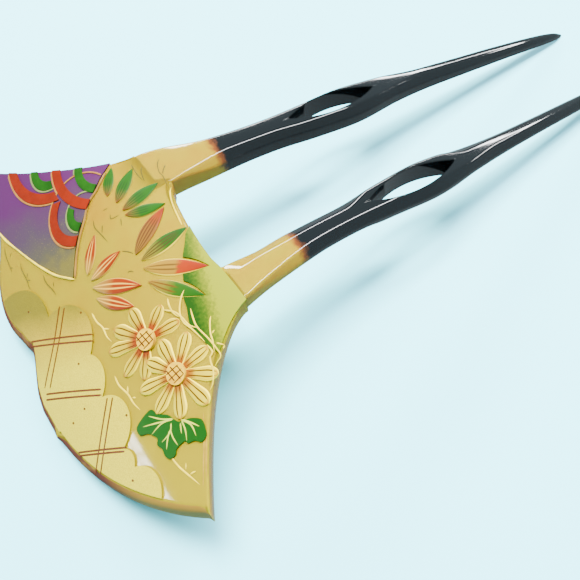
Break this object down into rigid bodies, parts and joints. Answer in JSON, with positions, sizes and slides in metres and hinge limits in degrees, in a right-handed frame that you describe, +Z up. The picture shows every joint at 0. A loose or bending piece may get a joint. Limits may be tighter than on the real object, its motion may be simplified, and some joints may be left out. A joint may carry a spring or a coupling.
{
  "type": "hairpin",
  "caption": "Two-pronged kanzashi hairpin with an arched fan-shaped head in amber plastic, raised lacquer ornament on its face, and black prongs with pierced eyelets.",
  "frame": {"origin": "on the surface that the hairpin lies on, under the middle of its length and width", "axes": "+Y from the head to the tips of the prongs, +Z up out of the decorated face"},
  "size_m": [0.072, 0.134, 0.024],
  "materials": {
    "amber_plastic": "polished translucent amber, sprayed black on the prongs",
    "purple_lacquer": "satin painted lacquer",
    "orange_lacquer": "satin painted lacquer",
    "green_lacquer": "satin painted lacquer",
    "gold_lacquer": "fine gold powder in clear lacquer",
    "hill_lacquer": "grainy green-gold powder lacquer",
    "cream_lacquer": "satin painted lacquer"
  },
  "bodies": {
    "root": {"body": "amber_plastic", "wave_panel": "purple_lacquer", "wave_crests": "orange_lacquer", "wave_troughs": "green_lacquer", "gold_cloud": "gold_lacquer", "hill_panel": "hill_lacquer", "leaves_upper": "green_lacquer", "leaves_middle": "green_lacquer", "leaves_lower": "orange_lacquer", "flower_back": "cream_lacquer", "flower_front": "cream_lacquer", "flower_back_eye": "cream_lacquer", "flower_front_eye": "cream_lacquer", "flower_leaf": "green_lacquer"}
  },
  "joints": []
}
